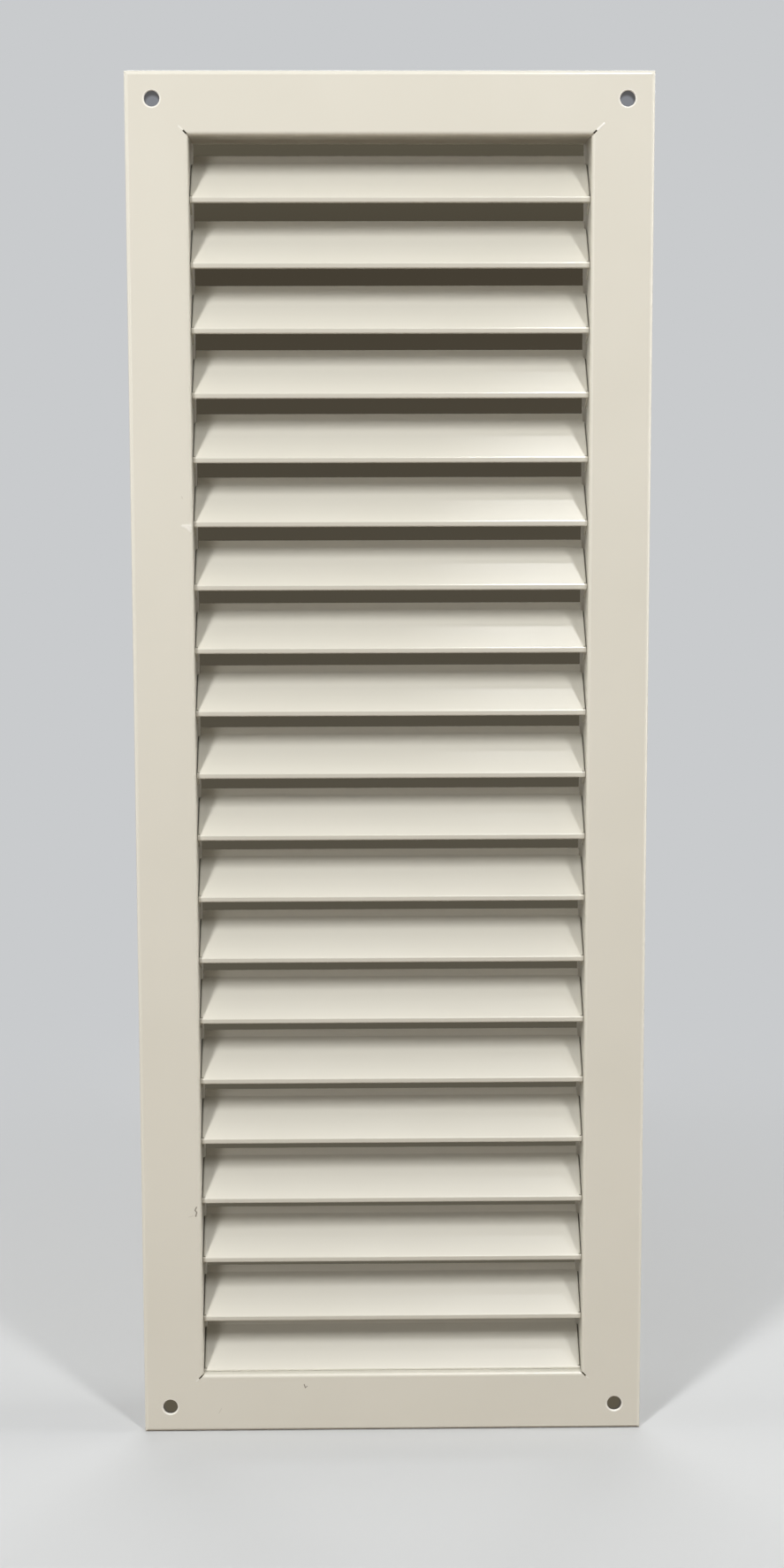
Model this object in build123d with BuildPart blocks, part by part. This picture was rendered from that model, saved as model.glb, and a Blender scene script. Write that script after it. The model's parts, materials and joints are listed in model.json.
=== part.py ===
from build123d import *
import math
import os

# Return air grille: one folded sheet-steel frame holding a stack of fixed sloping blades.
# X runs along the blades, Y runs into the wall and Z is up. Y = 0 is the back of the face sheet.

# Frame sizes, in millimetres
opening_width = 198.0
opening_height = 633.0
border_width = 31.0
frame_sheet = 1.2
frame_fold_radius = 1.9
neck_depth = 44.0
edge_depth = 8.0
corner_slit_width = 0.8
corner_slit_reach = 2.4
corner_slit_depth = 2.6
screw_hole_diameter = 7.6
screw_hole_inset = 13.5
screw_hole_edge_break = 0.4

# Blade sizes
blade_sheet = 0.7
blade_slope_angle = 45.0
blade_slope_run = 18.2
lip_height = 2.6
lip_lean = 0.35
lip_return = 3.5
lip_recess = 4.5
lip_end_clearance = 0.25
upstand_height = 3.4
upstand_lean = 1.5
nose_fold_radius = 0.8
return_fold_radius = 0.8
upstand_fold_radius = 0.6
nose_land = 0.3
end_tab_width = 15.0
end_tab_mitre = 3.0
end_tab_relief = 0.8
end_tab_fold_radius = 1.4

# Blade spacing, from the top of the opening down
first_lip_drop = 31.9
target_blade_pitch = 31.75
bottom_blade_step = 29.0
bottom_blade_clearance = 0.2
bottom_blade_sink = 1.8

# Places worked out from the sizes
half_opening_width = opening_width / 2
half_opening_height = opening_height / 2
half_outer_width = half_opening_width + border_width
half_outer_height = half_opening_height + border_width
face_front = -frame_sheet
neck_back = face_front + neck_depth
edge_back = face_front + edge_depth
screw_hole_x = half_outer_width - screw_hole_inset
screw_hole_z = half_outer_height - screw_hole_inset

slope_angle = math.radians(blade_slope_angle)
slope_cos = math.cos(slope_angle)
slope_sin = math.sin(slope_angle)
lip_front = face_front + lip_recess
slope_top = lip_height + blade_slope_run * math.tan(slope_angle)
lip_angle = math.atan2(lip_height, -lip_lean)
upstand_angle = math.atan2(upstand_height, upstand_lean)
nose_tangent = nose_fold_radius * math.tan((lip_angle - slope_angle) / 2)
upstand_tangent = upstand_fold_radius * math.tan((upstand_angle - slope_angle) / 2)
slope_length = blade_slope_run / slope_cos - nose_tangent - upstand_tangent
end_tab_length = slope_length - 2 * end_tab_relief

bottom_cut_z = -half_opening_height + bottom_blade_clearance
bottom_lip_z = bottom_cut_z - bottom_blade_sink
even_run = half_opening_height - first_lip_drop - bottom_blade_step - bottom_lip_z
even_steps = max(1, round(even_run / target_blade_pitch))
blade_pitch = even_run / even_steps
lip_heights = [half_opening_height - first_lip_drop - step * blade_pitch for step in range(even_steps + 1)]
lip_heights.append(bottom_lip_z)

os.makedirs("parts", exist_ok=True)

# Frame: the face, its folded-back outer edges and the neck are one sheet.
# The section is drawn at the middle of one side and swept round the opening.
with BuildPart() as frame:
    with BuildLine(Plane.XZ) as opening_line:
        Polyline(
            (half_opening_width, 0),
            (half_opening_width, half_opening_height),
            (-half_opening_width, half_opening_height),
            (-half_opening_width, -half_opening_height),
            (half_opening_width, -half_opening_height),
            close=True,
        )
    with BuildSketch(Plane.XY):
        with BuildLine():
            FilletPolyline(
                (half_opening_width, neck_back),
                (half_opening_width, face_front),
                (half_outer_width, face_front),
                (half_outer_width, edge_back),
                radius=frame_fold_radius,
            )
            offset(amount=frame_sheet, side=Side.LEFT)
        make_face()
    sweep(path=opening_line.line, transition=Transition.RIGHT)

    # Slits through the fold at the corners of the opening,
    # and open seams behind the fold at the corners of the outer edge
    seam_length = 2 * corner_slit_reach * math.sqrt(2)
    for seam_x, seam_z, seam_front, seam_depth in (
        (half_opening_width, half_opening_height, face_front, corner_slit_depth),
        (half_outer_width, half_outer_height, face_front + frame_fold_radius, edge_depth),
    ):
        for side_x in (-1, 1):
            for side_z in (-1, 1):
                seam_plane = Plane(
                    origin=(side_x * seam_x, seam_front, side_z * seam_z),
                    x_dir=(side_x, 0, side_z),
                    z_dir=(0, 1, 0),
                )
                with BuildSketch(seam_plane):
                    Rectangle(seam_length, corner_slit_width)
                extrude(amount=seam_depth, mode=Mode.SUBTRACT)

    # Screw holes in the corners of the face, with their front edges broken
    with BuildSketch(Plane.XZ):
        with GridLocations(2 * screw_hole_x, 2 * screw_hole_z, 2, 2):
            Circle(screw_hole_diameter / 2)
    extrude(amount=frame_sheet, both=True, mode=Mode.SUBTRACT)
    hole_rims = frame.edges().filter_by(GeomType.CIRCLE).group_by(Axis.Y)[0]
    chamfer(hole_rims, length=screw_hole_edge_break)

frame.part.label = "frame"
export_step(frame.part, "parts/frame.step")

# One blade, with the underside of its lip at Z = 0: a lip folded under at the front,
# a slope rising into the wall, a short upstand at the back and an end tab folded down at each end.
slope_direction = Vector(0, slope_cos, slope_sin)
nose_corner = Vector(0, lip_front, lip_height)
nose_end = nose_corner + slope_direction * (nose_tangent + nose_land)
tab_start = nose_corner + slope_direction * (nose_tangent + end_tab_relief)
tab_section = Plane(origin=tab_start, x_dir=(1, 0, 0), z_dir=slope_direction)
tab_face = Plane(
    origin=tab_start + Vector(half_opening_width, 0, 0),
    x_dir=slope_direction,
    z_dir=(1, 0, 0),
)
lip_points = [
    (lip_front + lip_lean + lip_return, 0),
    (lip_front + lip_lean, 0),
    (lip_front, lip_height),
]
slope_end = (lip_front + blade_slope_run, slope_top)
upstand_end = (lip_front + blade_slope_run + upstand_lean, slope_top + upstand_height)

with BuildPart() as blade_form:
    # Lip, slope and upstand, as long as the folded ends leave room for
    with BuildSketch(Plane.YZ):
        with BuildLine():
            FilletPolyline(
                *lip_points,
                slope_end,
                upstand_end,
                radius=(return_fold_radius, nose_fold_radius, upstand_fold_radius),
            )
            offset(amount=blade_sheet, side=Side.RIGHT)
        make_face()
    extrude(amount=half_opening_width - end_tab_fold_radius, both=True)

    # The lip runs on past the slope, nearly to the frame
    with BuildSketch(Plane.YZ):
        with BuildLine():
            FilletPolyline(
                *lip_points,
                (nose_end.Y, nose_end.Z),
                radius=(return_fold_radius, nose_fold_radius),
            )
            offset(amount=blade_sheet, side=Side.RIGHT)
        make_face()
    extrude(amount=half_opening_width - lip_end_clearance, both=True)

    # End tab with its fold, at the right-hand end and mirrored to the left
    with BuildSketch(tab_section):
        with BuildLine():
            FilletPolyline(
                (half_opening_width - 2 * end_tab_fold_radius, 0),
                (half_opening_width, 0),
                (half_opening_width, end_tab_fold_radius + blade_sheet),
                radius=end_tab_fold_radius,
            )
            offset(amount=blade_sheet, side=Side.LEFT)
        make_face()
    right_fold = extrude(amount=end_tab_length)
    with BuildSketch(tab_face):
        with BuildLine():
            Polyline(
                (0, -end_tab_fold_radius),
                (end_tab_length, -end_tab_fold_radius),
                (end_tab_length - end_tab_mitre, -end_tab_width),
                (end_tab_mitre, -end_tab_width),
                close=True,
            )
        make_face()
    right_tab = extrude(amount=-blade_sheet)
    mirror([right_fold, right_tab], about=Plane.YZ)

# The blades hang one below another from blade_01 at the top.
# The bottom blade stands on the frame, so its lip and tabs are cut off level.
for number, lip_z in enumerate(lip_heights, start=1):
    with BuildPart() as blade:
        with Locations((0, 0, lip_z)):
            add(blade_form.part)
        if lip_z == bottom_lip_z:
            split(bisect_by=Plane.XY.offset(bottom_cut_z), keep=Keep.TOP)
    name = f"blade_{number:02d}"
    blade.part.label = name
    export_step(blade.part, f"parts/{name}.step")
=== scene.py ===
import json
from math import radians

import bpy
from mathutils import Matrix, Vector


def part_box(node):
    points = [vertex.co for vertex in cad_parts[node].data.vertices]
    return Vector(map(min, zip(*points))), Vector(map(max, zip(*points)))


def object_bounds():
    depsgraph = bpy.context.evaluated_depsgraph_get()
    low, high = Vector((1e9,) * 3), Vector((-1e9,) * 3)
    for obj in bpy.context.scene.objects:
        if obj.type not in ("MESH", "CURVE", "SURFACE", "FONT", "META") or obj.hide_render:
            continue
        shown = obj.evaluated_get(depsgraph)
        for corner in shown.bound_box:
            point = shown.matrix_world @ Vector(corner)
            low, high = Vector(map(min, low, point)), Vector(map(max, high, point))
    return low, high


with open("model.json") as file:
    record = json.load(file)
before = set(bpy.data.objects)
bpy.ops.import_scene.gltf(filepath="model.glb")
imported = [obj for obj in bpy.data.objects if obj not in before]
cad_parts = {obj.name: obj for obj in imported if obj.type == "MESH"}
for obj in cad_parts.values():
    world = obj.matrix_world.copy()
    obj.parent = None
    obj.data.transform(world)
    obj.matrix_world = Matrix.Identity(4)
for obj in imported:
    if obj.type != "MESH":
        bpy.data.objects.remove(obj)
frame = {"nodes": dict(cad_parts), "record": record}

CAD_LOW, CAD_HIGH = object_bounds()
MM = 0.001

# Places on the grille, in millimetres from the middle of the opening.
# The blades' end tabs reach the neck's sides, and the border is as wide all round.
NECK_HALF_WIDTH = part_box("blade_01")[1].x / MM
BORDER_WIDTH = CAD_HIGH.x / MM - NECK_HALF_WIDTH
NECK_HALF_HEIGHT = CAD_HIGH.z / MM - BORDER_WIDTH
FACE_FRONT = CAD_LOW.y / MM
screw_holes = next(m for m in frame["record"]["mounts"] if m["name"] == "screw_holes")["dims"]
HOLE_X = screw_holes["spacing_x_mm"] / 2
HOLE_Z = screw_holes["spacing_y_mm"] / 2
HOLE_RADIUS = screw_holes["hole_r_mm"]

# Powder coat, in millimetres
FILM_DRIFT = 60.0
FILM_ROUGHNESS = (0.26, 0.34)
THIN_FILM_AND_SHADE_DEPTHS = (-0.5, 14.0)
PEEL_SIZE = 2.2
PEEL_HEIGHT = 0.05
EDGE_ROUNDING = 0.35
RIM_HIGHLIGHT_EDGES = (0.95, 0.45)
RIDGE_HEIGHT = 0.25

# Marks on the face: each line's start, end and half width, in millimetres across and up from the
# middle of the opening. A crease names its corner first and is measured outward from that.
SHARP_CREASE = ((1, 1), (2.7, 2.5), (5.9, 5.4), 0.8)
SOFT_CREASES = [
    ((-1, 1), (2.6, 2.6), (4.6, 4.4), 0.6),
    ((-1, -1), (2.6, 2.6), (3.6, 3.6), 0.5),
    ((1, -1), (2.6, 2.6), (3.8, 3.6), 0.5),
]
DENT = [
    ((-104.0, 126.0), (-99.4, 126.2), 1.3),
    ((-103.0, 125.7), (-99.6, 124.6), 1.3),
    ((-102.0, 125.2), (-100.0, 123.4), 1.1),
]
SCUFFS = [
    ((-46.4, -322.2), (-45.8, -324.0), 0.45),
    ((-45.8, -324.0), (-44.9, -323.2), 0.35),
    ((-101.6, -225.8), (-102.3, -227.4), 0.55),
    ((-102.3, -227.4), (-101.5, -228.6), 0.6),
    ((-101.5, -228.6), (-102.0, -230.6), 0.6),
]
SCRATCHES = [
    ((-89.8, -334.9), (-91.2, -337.6), 0.35),
    ((-103.2, -230.4), (-105.6, -231.0), 0.4),
    ((-104.3, 140.6), (-104.0, 139.8), 0.5),
]

# Cards of painted shade behind the grille, in millimetres
DUCT_CARD_OVERLAP = 0.5
DUCT_CARD_INSET = 0.3
WALL_CARD_INNER_GAP = 0.8
WALL_CARD_OUTER_GAP = 1.5
WALL_CARD_DEPTH = 5.5
HOLE_LIGHT_DROP = 1.6
HOLE_SHADOW_EDGES = (3.1, 4.3)
SLIT_SHADE_EDGES = (10, 8)
MIDDLE_SHADE_LEVEL = 0.9

# Studio, in metres
FLOOR_HALF = 8.0
FLOOR_FADE = (0.15, 1.0)
BACKDROP = "#C9CBCD"
GRILLE_MIDDLE = (0, 0, 0)
PANEL_SIZE = (0.25, 1.1)
BACK_PANEL_SIZE = (2.2, 1.2)
STRIP_SIZE = (0.25, 1.2)
FILL_SIZE = (0.6, 0.8)
SPOT_RADIUS = 0.03
SKY_STRENGTH = 0.18

# Camera: a little left of the grille's middle, above it and looking slightly down
CAMERA_PLACE = Vector((-0.0220, -1.3104, 0.1822))
CAMERA_TURN = radians(0.974)
CAMERA_TILT = radians(8.116)
CAMERA_ROLL = radians(-0.115)
CAMERA_LENS_MM = 59.87

# A Mix node's colour sockets, which share their names with its sockets for other kinds
MIX_A, MIX_B, MIX_RESULT = 6, 7, 2


def linear(hex_colour):
    """Turns an sRGB hex colour into the linear RGBA that a shader takes."""
    channels = [int(hex_colour[i:i + 2], 16) / 255 for i in (1, 3, 5)]
    return [c / 12.92 if c <= 0.04045 else ((c + 0.055) / 1.055) ** 2.4 for c in channels] + [1.0]


def add_node(tree, kind, inputs=None, **settings):
    """Adds a node with its settings, and sets or links its inputs."""
    node = tree.nodes.new(kind)
    for name, value in settings.items():
        setattr(node, name, value)
    for socket, value in (inputs or {}).items():
        if isinstance(value, bpy.types.NodeSocket):
            tree.links.new(value, node.inputs[socket])
        else:
            node.inputs[socket].default_value = value
    return node


def new_material(name):
    """A material with an empty node tree and its output."""
    material = bpy.data.materials.new(name)
    material.use_nodes = True
    tree = material.node_tree
    tree.nodes.clear()
    output = tree.nodes.new("ShaderNodeOutputMaterial")
    return material, tree, output


def stroke(tree, in_mm, start, end, half_width):
    """A soft mask round a short line on the face: one on the line, nought past its half width."""
    first = Vector((start[0], FACE_FRONT, start[1]))
    last = Vector((end[0], FACE_FRONT, end[1]))
    run = last - first
    off = add_node(
        tree, "ShaderNodeVectorMath", {0: in_mm, 1: first}, operation="SUBTRACT",
    ).outputs[0]
    share = add_node(
        tree, "ShaderNodeVectorMath", {0: off, 1: run / run.length_squared},
        operation="DOT_PRODUCT",
    ).outputs["Value"]
    along = add_node(tree, "ShaderNodeClamp", {0: share}).outputs[0]
    near = add_node(
        tree, "ShaderNodeVectorMath", {0: run, "Scale": along}, operation="SCALE",
    ).outputs[0]
    away = add_node(
        tree, "ShaderNodeVectorMath", {0: off, 1: near}, operation="DISTANCE",
    ).outputs["Value"]
    return add_node(
        tree, "ShaderNodeMapRange", {"Value": away, "From Min": half_width, "From Max": 0.0},
        interpolation_type="SMOOTHSTEP",
    ).outputs[0]


def crease(tree, in_mm, corner, start, end, half_width):
    """A stroke that runs outward from a corner of the opening."""
    start, end = (
        (corner[0] * (NECK_HALF_WIDTH + across), corner[1] * (NECK_HALF_HEIGHT + up))
        for across, up in (start, end)
    )
    return stroke(tree, in_mm, start, end, half_width)


def strongest(tree, masks):
    """The largest of some masks."""
    whole = masks[0]
    for mask in masks[1:]:
        whole = add_node(
            tree, "ShaderNodeMath", {0: whole, 1: mask}, operation="MAXIMUM",
        ).outputs[0]
    return whole


def tint(tree, colour, mask, share, hex_colour):
    """Mixes a flat colour over another, by a mask."""
    weight = add_node(tree, "ShaderNodeMath", {0: mask, 1: share}, operation="MULTIPLY").outputs[0]
    return add_node(
        tree, "ShaderNodeMix", {"Factor": weight, MIX_A: colour, MIX_B: linear(hex_colour)},
        data_type="RGBA",
    ).outputs[MIX_RESULT]


def powder_film(tree, in_mm):
    """The colour and the roughness of the baked film."""
    # The film's thickness wanders, and with it the cream's depth
    cloud = add_node(
        tree, "ShaderNodeTexNoise", {"Vector": in_mm, "Scale": 1 / FILM_DRIFT, "Detail": 3.0},
    ).outputs["Fac"]
    cream = add_node(
        tree, "ShaderNodeMix",
        {"Factor": cloud, MIX_A: linear("#D8D4C6"), MIX_B: linear("#DDD9CC")}, data_type="RGBA",
    ).outputs[MIX_RESULT]

    # The charged powder keeps to the front, so behind the face the film thins and dulls; this
    # darkening with depth is also painted shade for the recess
    depth = add_node(tree, "ShaderNodeSeparateXYZ", {0: in_mm}).outputs["Y"]
    thin_film_and_shade = add_node(
        tree, "ShaderNodeMapRange",
        {"Value": depth, "From Min": THIN_FILM_AND_SHADE_DEPTHS[0], "From Max": THIN_FILM_AND_SHADE_DEPTHS[1]},
    ).outputs[0]
    colour = tint(tree, cream, thin_film_and_shade, 1.0, "#C4C1B6")
    roughness = add_node(
        tree, "ShaderNodeMapRange",
        {"Value": cloud, "To Min": FILM_ROUGHNESS[0], "To Max": FILM_ROUGHNESS[1]},
    ).outputs[0]
    return colour, roughness


def orange_peel(tree, in_mm):
    """The film's skin over rounded edges.

    Real orange peel is about 1.5 mm across. It is drawn coarser so that it shows at this distance.
    """
    peel = add_node(
        tree, "ShaderNodeTexNoise", {"Vector": in_mm, "Scale": 1 / PEEL_SIZE, "Detail": 2.0},
    ).outputs["Fac"]
    rounded = add_node(
        tree, "ShaderNodeBevel", {"Radius": EDGE_ROUNDING * MM}, samples=4,
    ).outputs[0]
    return add_node(
        tree, "ShaderNodeBump",
        {"Strength": 0.2, "Distance": PEEL_HEIGHT * MM, "Height": peel, "Normal": rounded},
    ).outputs[0]


def hole_rim_highlights(tree, in_mm, colour):
    """A painted highlight: a pale ring round each screw hole's rounded rim."""
    one_corner = add_node(
        tree, "ShaderNodeVectorMath", {0: in_mm}, operation="ABSOLUTE",
    ).outputs[0]
    flat = add_node(
        tree, "ShaderNodeVectorMath", {0: one_corner, 1: (1, 0, 1)}, operation="MULTIPLY",
    ).outputs[0]
    from_hole = add_node(
        tree, "ShaderNodeVectorMath", {0: flat, 1: (HOLE_X, 0, HOLE_Z)}, operation="DISTANCE",
    ).outputs["Value"]
    outer, inner = (HOLE_RADIUS + edge for edge in RIM_HIGHLIGHT_EDGES)
    rim_highlight = add_node(
        tree, "ShaderNodeMapRange", {"Value": from_hole, "From Min": outer, "From Max": inner},
        interpolation_type="SMOOTHSTEP",
    ).outputs[0]
    return tint(tree, colour, rim_highlight, 0.75, "#F6F3EA")


def creases_and_dent_highlights(tree, in_mm, colour, skin):
    """Ridges of creases that run on from the corner slits, and of a dent beside the opening,
    painted pale as a highlight.
    """
    sharp = crease(tree, in_mm, *SHARP_CREASE)
    soft = strongest(tree, [crease(tree, in_mm, *line) for line in SOFT_CREASES])
    faint = add_node(tree, "ShaderNodeMath", {0: soft, 1: 0.55}, operation="MULTIPLY").outputs[0]
    dent = strongest(tree, [stroke(tree, in_mm, *line) for line in DENT])
    blunt = add_node(tree, "ShaderNodeMath", {0: dent, 1: 0.6}, operation="MULTIPLY").outputs[0]
    ridge = strongest(tree, [sharp, faint, blunt])
    skin = add_node(
        tree, "ShaderNodeBump",
        {"Strength": 0.6, "Distance": RIDGE_HEIGHT * MM, "Height": ridge, "Normal": skin},
    ).outputs[0]
    # The pale tint over the ridges is a painted highlight
    return tint(tree, colour, ridge, 0.8, "#FAF8F1"), skin


def scuffs_and_scratches(tree, in_mm, colour):
    """Rubbed-in dirt under and beside the opening, and a few faint scratches."""
    scuff = strongest(tree, [stroke(tree, in_mm, *line) for line in SCUFFS])
    scratch = strongest(tree, [stroke(tree, in_mm, *line) for line in SCRATCHES])
    colour = tint(tree, colour, scuff, 0.9, "#6A6052")
    return tint(tree, colour, scratch, 0.3, "#9E9482")


def painted_groove_shade(tree, in_mm, colour):
    """Painted shade in the groove between a blade's folded end and the frame."""
    facing = add_node(tree, "ShaderNodeNewGeometry").outputs["True Normal"]
    side = add_node(tree, "ShaderNodeVectorMath", {0: in_mm}, operation="SIGN").outputs[0]
    outward = add_node(
        tree, "ShaderNodeVectorMath", {0: facing, 1: side}, operation="MULTIPLY",
    ).outputs[0]
    turn = add_node(tree, "ShaderNodeSeparateXYZ", {0: outward}).outputs["X"]
    painted_groove_mask = add_node(
        tree, "ShaderNodeMapRange", {"Value": turn, "From Min": 0.45, "From Max": 0.8},
        interpolation_type="SMOOTHSTEP",
    ).outputs[0]
    return tint(tree, colour, painted_groove_mask, 0.85, "#46423A")


def powder_coat(name, worn_and_highlit_face):
    """Cream polyester powder coat, sprayed dry on folded steel and baked until it flows together.

    It gives a satin skin with a fine orange peel, a slightly uneven film and soft edges.
    The worn face adds painted highlights round the holes' rims and on the creases and dent that
    folding and handling left, and dirt and scratches; the blades get painted shade in the grooves
    at their ends.
    """
    material, tree, output = new_material(name)
    place = add_node(tree, "ShaderNodeTexCoord").outputs["Object"]
    in_mm = add_node(
        tree, "ShaderNodeVectorMath", {0: place, "Scale": 1 / MM}, operation="SCALE",
    ).outputs[0]
    colour, roughness = powder_film(tree, in_mm)
    skin = orange_peel(tree, in_mm)
    if worn_and_highlit_face:
        colour = hole_rim_highlights(tree, in_mm, colour)
        colour, skin = creases_and_dent_highlights(tree, in_mm, colour, skin)
        colour = scuffs_and_scratches(tree, in_mm, colour)
    else:
        colour = painted_groove_shade(tree, in_mm, colour)
    paint = add_node(
        tree, "ShaderNodeBsdfPrincipled",
        {"Base Color": colour, "Roughness": roughness, "IOR": 1.5, "Normal": skin},
    )
    tree.links.new(paint.outputs[0], output.inputs["Surface"])
    return material


frame_paint = powder_coat("powder_coated_steel_frame", worn_and_highlit_face=True)
blade_paint = powder_coat("powder_coated_steel_blades", worn_and_highlit_face=False)
for name, node in frame["nodes"].items():
    node.data.materials.clear()
    node.data.materials.append(frame_paint if name == "frame" else blade_paint)


def flat_mesh(name, corners, faces):
    """A mesh of flat faces, put in the scene."""
    mesh = bpy.data.meshes.new(name)
    mesh.from_pydata(corners, [], faces)
    sheet = bpy.data.objects.new(name, mesh)
    bpy.context.scene.collection.objects.link(sheet)
    return sheet


def seen_directly(tree):
    """One for rays from the camera, straight or by a mirror or glass, and nought for the rest."""
    path = add_node(tree, "ShaderNodeLightPath")
    kinds = ("Is Camera Ray", "Is Glossy Ray", "Is Transmission Ray")
    return strongest(tree, [path.outputs[kind] for kind in kinds])


def pale_floor():
    """A pale floor that fades into the backdrop's colour with distance.

    For light it is darker and warmer, so that little of it comes back up.
    """
    half, z = FLOOR_HALF, CAD_LOW.z
    corners = [(-half, -half, z), (half, -half, z), (half, half, z), (-half, half, z)]
    floor = flat_mesh("floor", corners, [(0, 1, 2, 3)])
    material, tree, output = new_material("pale_floor")
    directly = seen_directly(tree)
    pale = add_node(
        tree, "ShaderNodeMix",
        {"Factor": directly, MIX_A: linear("#6E5E4E"), MIX_B: linear("#C2C3C3")}, data_type="RGBA",
    ).outputs[MIX_RESULT]
    shade = add_node(tree, "ShaderNodeBsdfDiffuse", {"Color": pale})
    far = add_node(tree, "ShaderNodeEmission", {"Color": linear(BACKDROP), "Strength": 1.0})
    place = add_node(tree, "ShaderNodeTexCoord").outputs["Object"]
    flat = add_node(
        tree, "ShaderNodeVectorMath", {0: place, 1: (1, 1, 0)}, operation="MULTIPLY",
    ).outputs[0]
    reach = add_node(tree, "ShaderNodeVectorMath", {0: flat}, operation="LENGTH").outputs["Value"]
    fade = add_node(
        tree, "ShaderNodeMapRange",
        {"Value": reach, "From Min": FLOOR_FADE[0], "From Max": FLOOR_FADE[1]},
        interpolation_type="SMOOTHSTEP",
    ).outputs[0]
    share = add_node(
        tree, "ShaderNodeMath", {0: fade, 1: directly}, operation="MULTIPLY",
    ).outputs[0]
    mix = add_node(
        tree, "ShaderNodeMixShader", {0: share, 1: shade.outputs[0], 2: far.outputs[0]},
    )
    tree.links.new(mix.outputs[0], output.inputs["Surface"])
    floor.data.materials.append(material)


def shade_through_holes(tree, place, colour):
    """Paints the shadow of each screw hole's upper edge, with a lit patch low in the hole, and
    paints shade deep in the corner slits.
    """
    side = add_node(tree, "ShaderNodeVectorMath", {0: place}, operation="SIGN").outputs[0]
    hole = add_node(
        tree, "ShaderNodeVectorMath", {0: side, 1: Vector((HOLE_X, 0, HOLE_Z)) * MM},
        operation="MULTIPLY",
    ).outputs[0]
    lit = add_node(
        tree, "ShaderNodeVectorMath", {0: hole, 1: (0, 0, -HOLE_LIGHT_DROP * MM)}, operation="ADD",
    ).outputs[0]
    off = add_node(
        tree, "ShaderNodeVectorMath", {0: place, 1: lit}, operation="SUBTRACT",
    ).outputs[0]
    flat = add_node(
        tree, "ShaderNodeVectorMath", {0: off, 1: (1, 0, 1)}, operation="MULTIPLY",
    ).outputs[0]
    away = add_node(tree, "ShaderNodeVectorMath", {0: flat}, operation="LENGTH").outputs["Value"]
    near_edge, far_edge = (edge * MM for edge in HOLE_SHADOW_EDGES)
    shadow = add_node(
        tree, "ShaderNodeMapRange", {"Value": away, "From Min": near_edge, "From Max": far_edge},
    ).outputs[0]
    colour = tint(tree, colour, shadow, 0.8, "#4A4846")

    slit = add_node(
        tree, "ShaderNodeVectorMath",
        {0: side, 1: Vector((NECK_HALF_WIDTH, 0, NECK_HALF_HEIGHT)) * MM}, operation="MULTIPLY",
    ).outputs[0]
    beside = add_node(
        tree, "ShaderNodeVectorMath", {0: place, 1: slit}, operation="DISTANCE",
    ).outputs["Value"]
    outer, inner = (edge * MM for edge in SLIT_SHADE_EDGES)
    deep = add_node(
        tree, "ShaderNodeMapRange", {"Value": beside, "From Min": outer, "From Max": inner},
    ).outputs[0]
    return tint(tree, colour, deep, 1.0, "#2A251C")


def shade_card(card, low_colour, middle_colour, high_colour, under_holes=False):
    """Paints a card with the shade seen behind the grille from the room, as a faint glow.

    From behind, and for light, the card isn't there.
    """
    material, tree, output = new_material(card.name)
    behind = add_node(tree, "ShaderNodeNewGeometry").outputs["Backfacing"]
    passed = add_node(tree, "ShaderNodeLightPath").outputs["Transparent Depth"]
    from_behind = add_node(
        tree, "ShaderNodeMath", {0: behind, 1: passed}, operation="ADD",
    ).outputs[0]
    shown = add_node(
        tree, "ShaderNodeMath", {0: seen_directly(tree), 1: from_behind},
        operation="SUBTRACT", use_clamp=True,
    ).outputs[0]
    place = add_node(tree, "ShaderNodeTexCoord").outputs["Object"]
    height = add_node(tree, "ShaderNodeSeparateXYZ", {0: place}).outputs["Z"]
    reach = NECK_HALF_HEIGHT * MM
    level = add_node(
        tree, "ShaderNodeMapRange", {"Value": height, "From Min": -reach, "From Max": reach},
    ).outputs[0]
    shades = add_node(tree, "ShaderNodeValToRGB", {0: level})
    ramp = shades.color_ramp.elements
    ramp[0].color = linear(low_colour)
    ramp[1].color = linear(high_colour)
    ramp.new(MIDDLE_SHADE_LEVEL).color = linear(middle_colour)
    colour = shades.outputs["Color"]
    if under_holes:
        colour = shade_through_holes(tree, place, colour)
    # Painted shade: the card glows faintly in the shade's colour and is no lamp
    dark = add_node(tree, "ShaderNodeEmission", {"Color": colour})
    clear = add_node(tree, "ShaderNodeBsdfTransparent")
    mix = add_node(
        tree, "ShaderNodeMixShader", {0: shown, 1: clear.outputs[0], 2: dark.outputs[0]},
    )
    tree.links.new(mix.outputs[0], output.inputs["Surface"])
    card.data.materials.append(material)


def duct_void():
    """A glowing card of painted shade at the back of the neck, where the duct's dark would be,
    darkest near the top.
    """
    x = (NECK_HALF_WIDTH + DUCT_CARD_OVERLAP) * MM
    z = (NECK_HALF_HEIGHT + DUCT_CARD_OVERLAP) * MM
    y = CAD_HIGH.y - DUCT_CARD_INSET * MM
    corners = [(-x, y, -z), (x, y, -z), (x, y, z), (-x, y, z)]
    card = flat_mesh("duct_void", corners, [(0, 1, 2, 3)])
    shade_card(card, "#605C50", "#453F34", "#575245")


def wall_shade():
    """A glowing card of painted shade for the wall just behind the face, seen through the screw
    holes and the corner slits, browner and darker towards the bottom.
    """
    inner = (
        (NECK_HALF_WIDTH + WALL_CARD_INNER_GAP) * MM,
        (NECK_HALF_HEIGHT + WALL_CARD_INNER_GAP) * MM,
    )
    outer = (CAD_HIGH.x - WALL_CARD_OUTER_GAP * MM, CAD_HIGH.z - WALL_CARD_OUTER_GAP * MM)
    corners = [
        (side_x * x, WALL_CARD_DEPTH * MM, side_z * z)
        for x, z in (inner, outer)
        for side_x, side_z in ((-1, -1), (1, -1), (1, 1), (-1, 1))
    ]
    faces = [(i, i + 4, (i + 1) % 4 + 4, (i + 1) % 4) for i in range(4)]
    card = flat_mesh("wall_shade", corners, faces)
    shade_card(card, "#5C5648", "#7F8084", "#84868B", under_holes=True)


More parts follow.
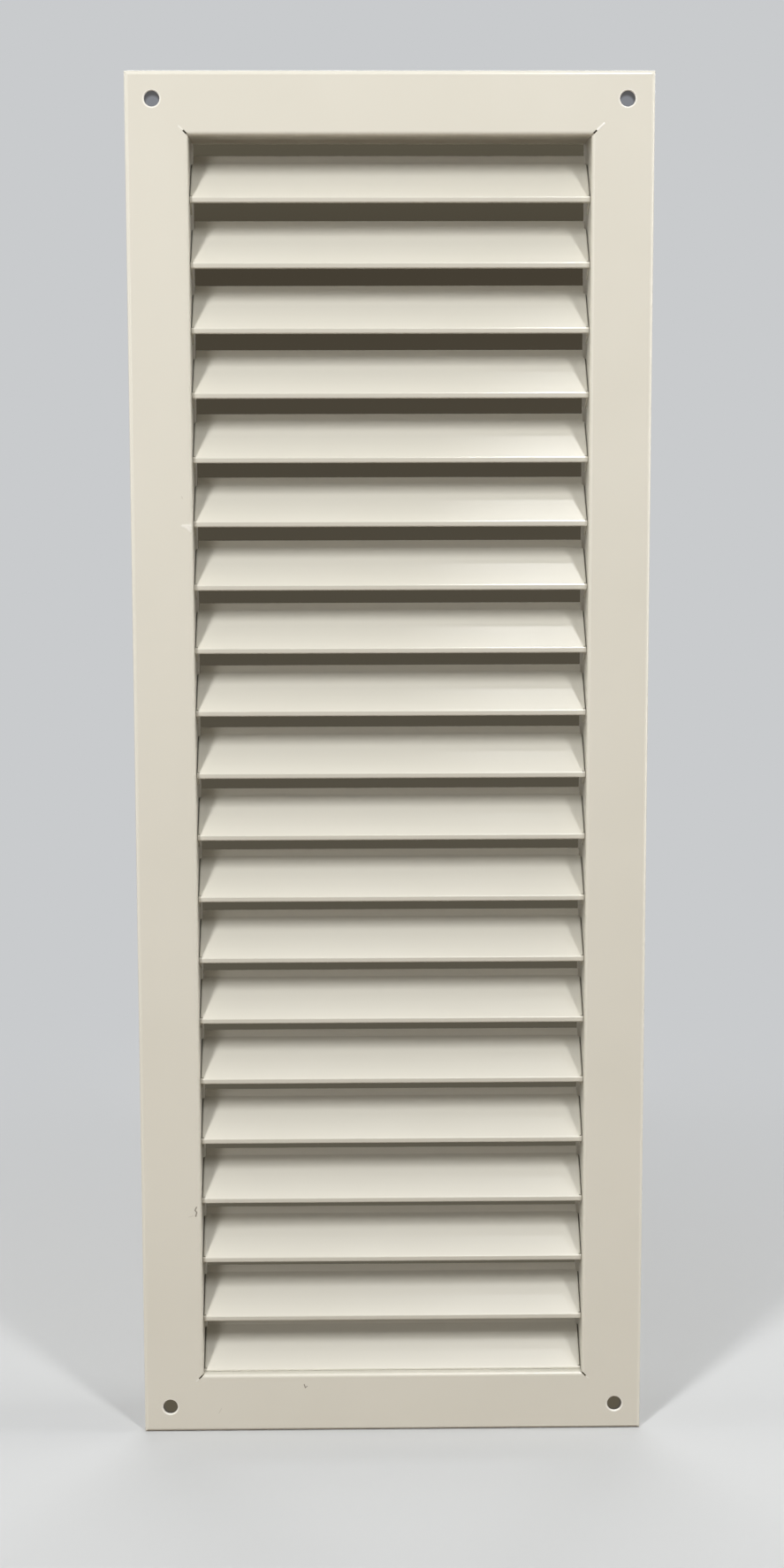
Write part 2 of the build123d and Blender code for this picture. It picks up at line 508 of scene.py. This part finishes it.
pale_floor()
duct_void()
wall_shade()


def hang_lamp(lamp, place, target):
    """Puts a lamp in the scene, aimed at a point."""
    holder = bpy.data.objects.new(lamp.name, lamp)
    holder.location = place
    aim = Vector(target) - Vector(place)
    holder.rotation_euler = aim.to_track_quat("-Z", "Y").to_euler()
    bpy.context.scene.collection.objects.link(holder)
    return holder


def soft_panel(name, place, size, watts):
    """A soft rectangular lamp aimed at the grille."""
    lamp = bpy.data.lights.new(name, "AREA")
    lamp.shape = "RECTANGLE"
    lamp.size, lamp.size_y = size
    lamp.energy = watts
    hang_lamp(lamp, place, GRILLE_MIDDLE)


def shine_spot(name, place, target, cone, watts):
    """A soft-edged spot that gives only shine."""
    lamp = bpy.data.lights.new(name, "SPOT")
    lamp.energy = watts
    lamp.spot_size = cone
    lamp.spot_blend = 1.0
    lamp.shadow_soft_size = SPOT_RADIUS
    hang_lamp(lamp, place, target).visible_diffuse = False


# Two narrow panels above the camera draw the shadows under the lips. The others light the back
# and the sides, and the low fill leaves the blades' left-hand ends in the frame's shadow.
soft_panel("left_panel", (-1.0, -1.9, 1.9), PANEL_SIZE, 45)
soft_panel("right_panel", (1.0, -1.9, 1.9), PANEL_SIZE, 31)
soft_panel("back_panel", (0, 2.3, 1.1), BACK_PANEL_SIZE, 42)
soft_panel("left_strip", (-1.2, 0, 0.25), STRIP_SIZE, 4.5)
soft_panel("right_strip", (1.2, 0, 0.25), STRIP_SIZE, 9)
soft_panel("left_fill", (-1.1, -2.3, 0.35), FILL_SIZE, 11)

# The right-hand ends of the upper blades shine most, those below a little,
# and the noses there shine all the way down
shine_spot("upper_shine", (0.42, -0.66, 1.45), (0.095, 0, 0.165), radians(5), 520)
shine_spot("lower_shine", (0.62, -0.62, 1.5), (0.1, 0, -0.05), radians(18), 40)
shine_spot("nose_shine", (0.25, -0.9, 0.92), (0.1, 0, 0), radians(40), 42)

world = bpy.data.worlds.new("studio")
bpy.context.scene.world = world
world.use_nodes = True
world_tree = world.node_tree
world_tree.nodes.clear()
sky = add_node(
    world_tree, "ShaderNodeBackground", {"Color": linear("#FFFFFF"), "Strength": SKY_STRENGTH},
)
backdrop = add_node(
    world_tree, "ShaderNodeBackground", {"Color": linear(BACKDROP), "Strength": 1.0},
)
shown = add_node(
    world_tree, "ShaderNodeMixShader",
    {0: seen_directly(world_tree), 1: sky.outputs[0], 2: backdrop.outputs[0]},
)
add_node(world_tree, "ShaderNodeOutputWorld", {"Surface": shown.outputs[0]})

camera = bpy.data.cameras.new("camera")
camera.lens = CAMERA_LENS_MM
camera_holder = bpy.data.objects.new("camera", camera)
camera_holder.matrix_world = (
    Matrix.Translation(CAMERA_PLACE)
    @ Matrix.Rotation(-CAMERA_TURN, 4, "Z")
    @ Matrix.Rotation(radians(90) - CAMERA_TILT, 4, "X")
    @ Matrix.Rotation(CAMERA_ROLL, 4, "Z")
)
bpy.context.scene.collection.objects.link(camera_holder)
bpy.context.scene.camera = camera_holder
bpy.context.scene.view_settings.view_transform = "Standard"
